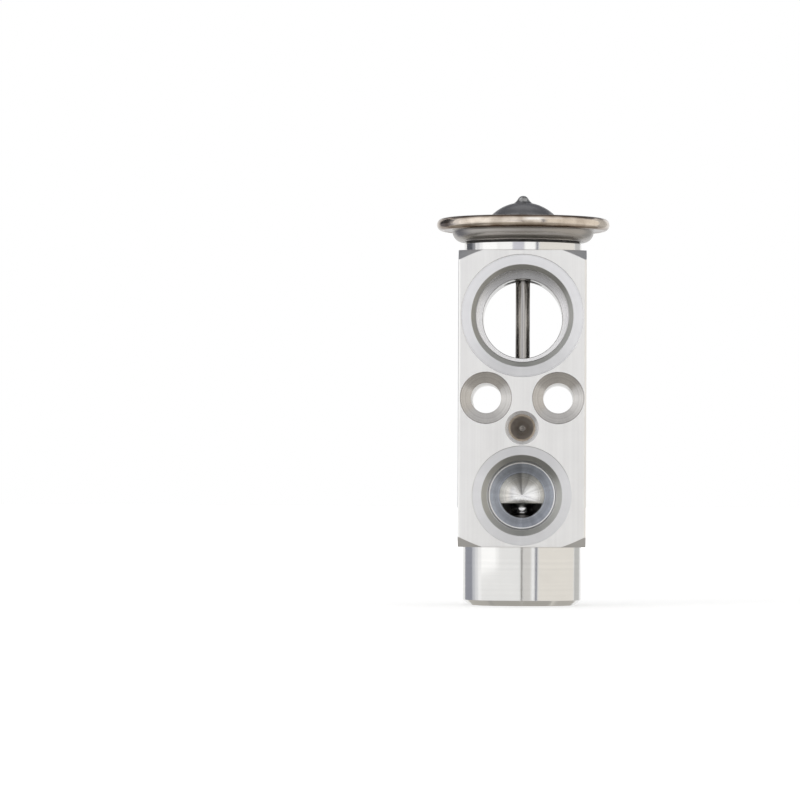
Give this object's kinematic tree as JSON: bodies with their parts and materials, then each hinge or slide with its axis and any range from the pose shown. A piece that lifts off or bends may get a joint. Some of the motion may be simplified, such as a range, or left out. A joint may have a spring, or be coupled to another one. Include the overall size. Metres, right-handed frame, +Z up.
{
  "type": "thermostatic expansion valve",
  "caption": "Block-type refrigerant expansion valve with a domed sensing head, stepped tube ports, cross bolt holes and a screw-adjusted ball seat.",
  "frame": {"origin": "centre of the spigot's underside, on the spindle axis", "axes": "+Z up the spindle axis towards the sensing head, -Y out of the face with the liquid inlet"},
  "size_m": [0.0384, 0.0384, 0.0909],
  "materials": {
    "block_aluminium": "extruded and machined",
    "head_steel": "pressed, satin",
    "cover_steel": "pressed, glossy",
    "diaphragm_steel": "bright rolled",
    "weld_steel": "welded, straw heat tint",
    "plug_steel": "bright",
    "plate_brass": "turned",
    "rod_steel": "ground",
    "ball_steel": "polished",
    "spring_steel": "drawn wire",
    "screw_aluminium": "turned",
    "seal_rubber": "moulded"
  },
  "bodies": {
    "valve": {"valve_body": "block_aluminium", "head_lower_housing": "head_steel", "head_cover": "cover_steel", "diaphragm": "diaphragm_steel", "rim_weld": "weld_steel", "charge_plug": "plug_steel", "head_gasket": "seal_rubber", "rod_seal": "seal_rubber", "seal_retainer": "plug_steel"},
    "stem": {"diaphragm_plate": "plate_brass", "sensing_rod": "rod_steel", "push_pin": "rod_steel", "valve_ball": "ball_steel", "ball_carrier": "plate_brass", "damper_spring": "diaphragm_steel"},
    "adjuster_slide": {"adjuster_o_ring": "seal_rubber", "superheat_spring": "spring_steel"},
    "adjuster": {"adjusting_screw": "screw_aluminium"}
  },
  "joints": [
    {"name": "valve_stroke", "type": "slide", "parent": "valve", "child": "stem", "axis": [0, 0, -1], "range_m": [0, 0.0008], "stiffness_N_per_m": 8000, "deforming": ["superheat_spring"]},
    {"name": "adjuster_advance", "type": "slide", "parent": "valve", "child": "adjuster_slide", "axis": [0, 0, 1], "range_m": [-0.0005, 0.0005]},
    {"name": "adjuster_turn", "type": "hinge", "parent": "adjuster_slide", "child": "adjuster", "pos_m": [0, 0, 0], "axis": [0, 0, 1], "range_deg": [-180, 180]}
  ],
  "couplings": [
    {"joint": "adjuster_advance", "follows": "adjuster_turn", "m_per_rad": 0.00015915}
  ]
}
